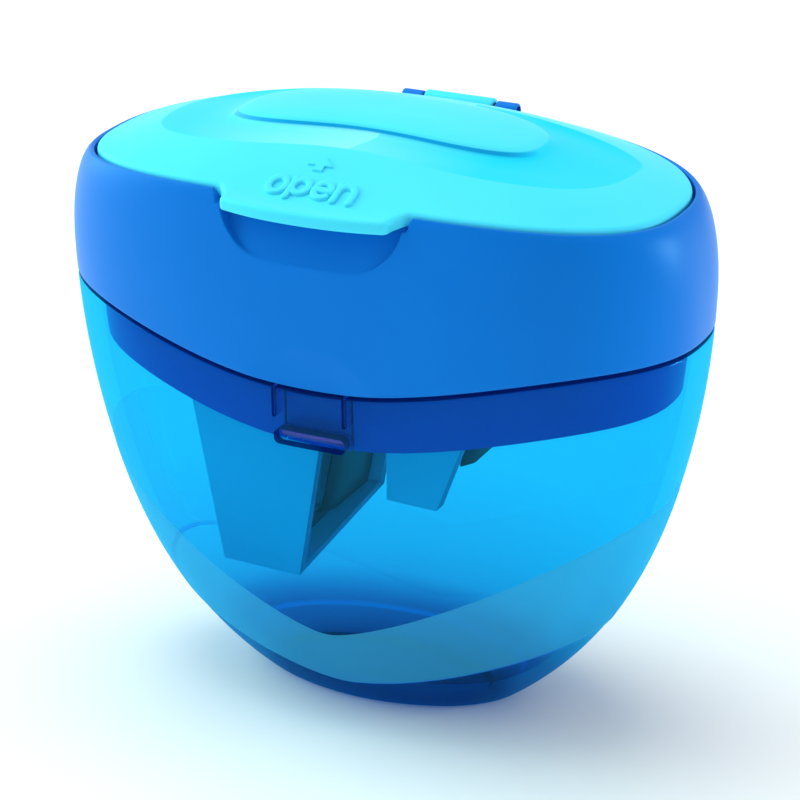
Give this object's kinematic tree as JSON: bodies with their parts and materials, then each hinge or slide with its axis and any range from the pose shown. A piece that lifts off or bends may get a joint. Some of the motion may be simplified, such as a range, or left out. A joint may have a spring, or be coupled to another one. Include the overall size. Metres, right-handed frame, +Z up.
{
  "type": "canister pencil sharpener",
  "caption": "Oval canister pencil sharpener: hinged lid over a large and a small pencil hole, housing snapped onto a translucent shavings container.",
  "frame": {"origin": "on the surface it stands on, under the middle of the object's outline", "axes": "+Z up; -Y towards the front, where the lid's thumb tab is; +X to the right seen from the front, along the oval's long way"},
  "size_m": [0.064, 0.037, 0.058],
  "materials": {
    "lid_plastic": "satin moulded cyan plastic",
    "housing_plastic": "satin moulded blue plastic",
    "container_plastic": "clear blue-tinted plastic with a frosted wave",
    "frame_plastic": "moulded dark blue plastic",
    "sharpener_plastic": "moulded blue plastic",
    "blade_steel": "ground steel",
    "fastener_steel": "plated steel"
  },
  "bodies": {
    "container": {"shavings_container": "container_plastic"},
    "housing": {"housing_shell": "housing_plastic", "inner_frame": "frame_plastic", "large_sharpener_body": "sharpener_plastic", "large_blade": "blade_steel", "large_blade_screw": "fastener_steel", "small_sharpener_body": "sharpener_plastic", "small_blade": "blade_steel", "small_blade_screw": "fastener_steel", "hinge_pin": "fastener_steel"},
    "front_latch": {"front_latch": "frame_plastic"},
    "rear_latch": {"rear_latch": "frame_plastic"},
    "lid": {"lid": "lid_plastic"}
  },
  "joints": [
    {"name": "housing_lift", "type": "slide", "parent": "container", "child": "housing", "axis": [0, 0, 1], "range_m": [0, 0.045]},
    {"name": "front_latch_flex", "type": "hinge", "parent": "housing", "child": "front_latch", "pos_m": [0, -0.01356, 0.0373], "axis": [1, 0, 0], "range_deg": [0, 13], "stiffness_Nm_per_rad": 0.15},
    {"name": "rear_latch_flex", "type": "hinge", "parent": "housing", "child": "rear_latch", "pos_m": [0, 0.01558, 0.0373], "axis": [-1, 0, 0], "range_deg": [0, 13], "stiffness_Nm_per_rad": 0.15},
    {"name": "lid_hinge", "type": "hinge", "parent": "housing", "child": "lid", "pos_m": [0, 0.01721, 0.0544], "axis": [-1, 0, 0], "range_deg": [0, 110]}
  ]
}
